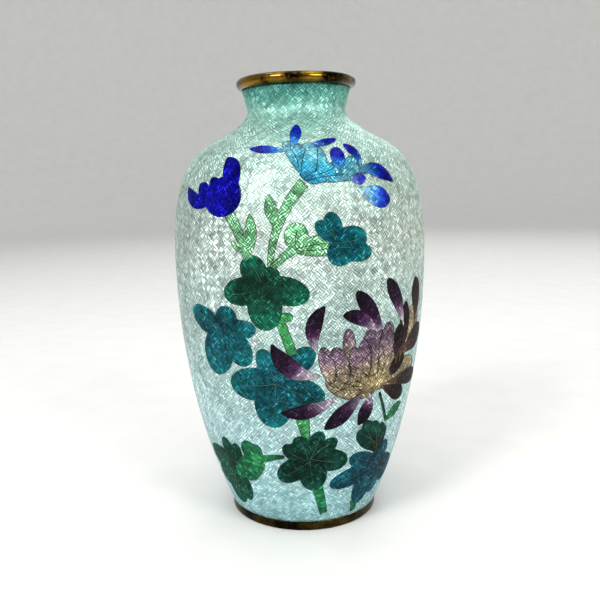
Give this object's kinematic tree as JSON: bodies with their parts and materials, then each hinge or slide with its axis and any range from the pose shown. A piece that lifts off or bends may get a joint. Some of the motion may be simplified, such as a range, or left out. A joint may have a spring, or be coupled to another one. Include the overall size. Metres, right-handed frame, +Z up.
{
  "type": "cloisonne enamel vase",
  "caption": "Baluster vase with a round shoulder, short flared neck, rolled metal rim and ring foot, decorated with inlaid enamel flowers and leaves; holds cut flowers or stands as an ornament.",
  "frame": {"origin": "centre of the foot ring's resting face", "axes": "+Z up along the vase's axis, -Y towards the front, where the flowers are, +X to the viewer's right"},
  "size_m": [0.1032, 0.1032, 0.18],
  "materials": {
    "brass": "old golden brown brass, softly polished, darker in the foot",
    "copper": "bare spun copper, hidden under the enamel",
    "silver": "thin silver foil stamped with a fine basket weave of strokes",
    "aqua": "clear aqua-white enamel over silver foil, glossy, deep teal under the rim",
    "lining": "plain blue-green counter enamel, glossy",
    "cobalt": "clear cobalt blue enamel over foil, glossy",
    "sky": "clear sky blue enamel over foil, glossy",
    "violet": "clear violet blue enamel over foil, glossy",
    "leaf": "clear dark green enamel over foil, glossy",
    "teal": "clear teal enamel over foil, glossy",
    "sprout": "clear fresh green enamel over foil, glossy",
    "plum": "clear plum enamel over foil, pale at the petal base, glossy",
    "lilac": "clear greyed lilac enamel over foil, glossy",
    "umber": "clear smoky brown enamel over foil, glossy",
    "gold": "clear honey enamel over foil, glossy"
  },
  "bodies": {
    "root": {"foot_ring": "brass", "rim_bead": "brass", "copper_body": "copper", "silver_foil": "silver", "lining_enamel": "lining", "underside_enamel": "lining", "ground_enamel": "aqua", "mum_inner_left": "lilac", "mum_inner_scallop": "lilac", "mum_inner_small": "lilac", "mum_inner_upright": "lilac", "mum_inner_right": "lilac", "mum_inner_top": "lilac", "mum_petal_curl": "plum", "mum_petal_crescent": "plum", "mum_petal_upper": "plum", "mum_petal_top": "plum", "mum_petal_spur": "umber", "mum_petal_spear": "umber", "mum_petal_edge": "umber", "mum_petal_round": "plum", "mum_petal_side": "umber", "mum_petal_long": "umber", "mum_petal_low": "plum", "mum_petal_down": "plum", "mum_petal_dagger": "plum", "mum_petal_tail": "plum", "mum_petal_wing": "plum", "mum_heart": "gold", "mum_veil": "gold", "mum_stem": "leaf", "mum_leaf": "sprout", "blue_petal_left": "cobalt", "blue_petal_top": "cobalt", "blue_petal_upper": "cobalt", "blue_petal_egg": "cobalt", "blue_petal_hook": "cobalt", "blue_petal_sickle": "cobalt", "blue_petal_spot": "violet", "blue_petal_drop": "cobalt", "blue_body": "sky", "bud_petals": "cobalt", "bud_stem": "sprout", "upper_leaf": "teal", "branch_leaf": "sprout", "centre_leaf": "leaf", "blue_stem": "sprout", "middle_stem": "sprout", "left_leaf": "teal", "broad_leaf": "teal", "broad_leaf_tip": "teal", "bottom_leaf": "leaf", "lower_stem": "sprout", "bottom_stem": "sprout", "fan_leaf": "leaf", "right_leaf": "teal", "right_stem": "sprout", "light_leaf": "sprout", "left_green_leaf": "leaf"}
  },
  "joints": []
}
